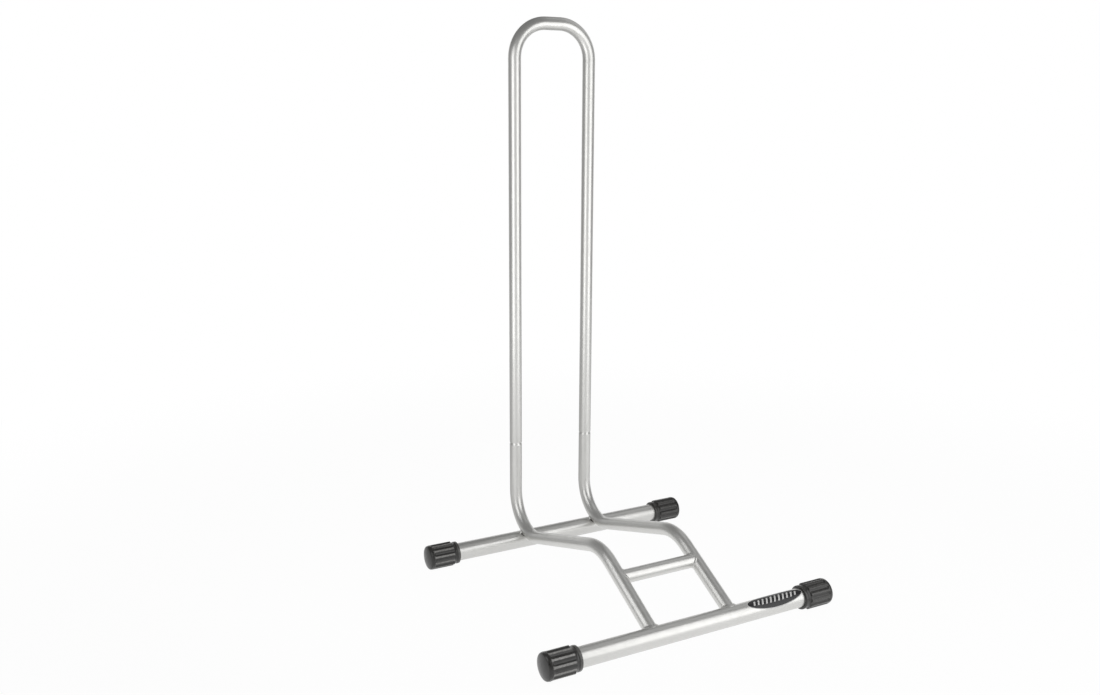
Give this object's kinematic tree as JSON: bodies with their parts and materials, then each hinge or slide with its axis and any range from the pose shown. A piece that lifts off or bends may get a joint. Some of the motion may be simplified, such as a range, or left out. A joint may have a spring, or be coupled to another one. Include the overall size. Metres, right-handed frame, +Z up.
{
  "type": "bike stand",
  "caption": "Free-standing bicycle wheel stand of bent steel tube: a tall lift-off hoop on side rails, cross foot tubes with ribbed rubber end caps and an oval label.",
  "frame": {"origin": "on the floor, under the middle of the stand's box", "axes": "+Z up, X along the two foot tubes with +X towards the end that has the oval label, +Y from the front foot towards the tall hoop"},
  "size_m": [0.382, 0.3538, 0.681],
  "materials": {
    "silver_coat": "satin silver powder coat over steel tube and weld beads",
    "cap_rubber": "matt black moulded rubber",
    "label_film": "glossy dark film with a thin pale border"
  },
  "bodies": {
    "base_frame": {"left_rail": "silver_coat", "right_rail": "silver_coat", "crossbar": "silver_coat", "front_foot_tube": "silver_coat", "rear_foot_tube": "silver_coat", "front_left_end_cap": "cap_rubber", "front_right_end_cap": "cap_rubber", "rear_left_end_cap": "cap_rubber", "rear_right_end_cap": "cap_rubber", "front_left_weld": "silver_coat", "front_right_weld": "silver_coat", "rear_left_weld": "silver_coat", "rear_right_weld": "silver_coat", "crossbar_left_weld": "silver_coat", "crossbar_right_weld": "silver_coat", "oval_label": "label_film"},
    "hoop": {"upper_hoop": "silver_coat"}
  },
  "joints": [
    {"name": "hoop_lift", "type": "slide", "parent": "base_frame", "child": "hoop", "axis": [0, 0, 1], "range_m": [0, 0.045]}
  ]
}
